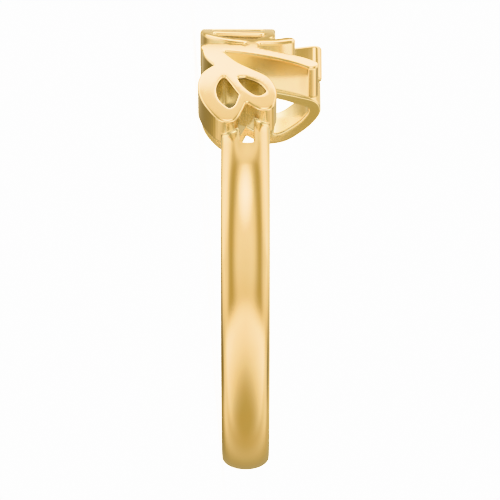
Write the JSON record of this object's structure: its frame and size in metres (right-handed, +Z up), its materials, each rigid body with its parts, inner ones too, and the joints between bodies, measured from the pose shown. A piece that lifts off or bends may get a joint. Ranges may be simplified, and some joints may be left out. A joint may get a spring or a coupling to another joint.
{
  "type": "flourish ring",
  "caption": "Gold band ring: a pierced openwork plate of pen strokes curved over the front of the finger, on a forked half-round shank.",
  "frame": {"origin": "under the middle of the ring's box, on the surface that it lies on", "axes": "+Z up, nearly along the finger hole; -Y towards the middle of the pierced plate, +Y towards the back of the shank; +X along the plate to its open end"},
  "size_m": [0.0196, 0.0206, 0.006],
  "materials": {
    "gold": "polished yellow gold"
  },
  "bodies": {
    "root": {"flourish_ring": "gold"}
  },
  "joints": []
}
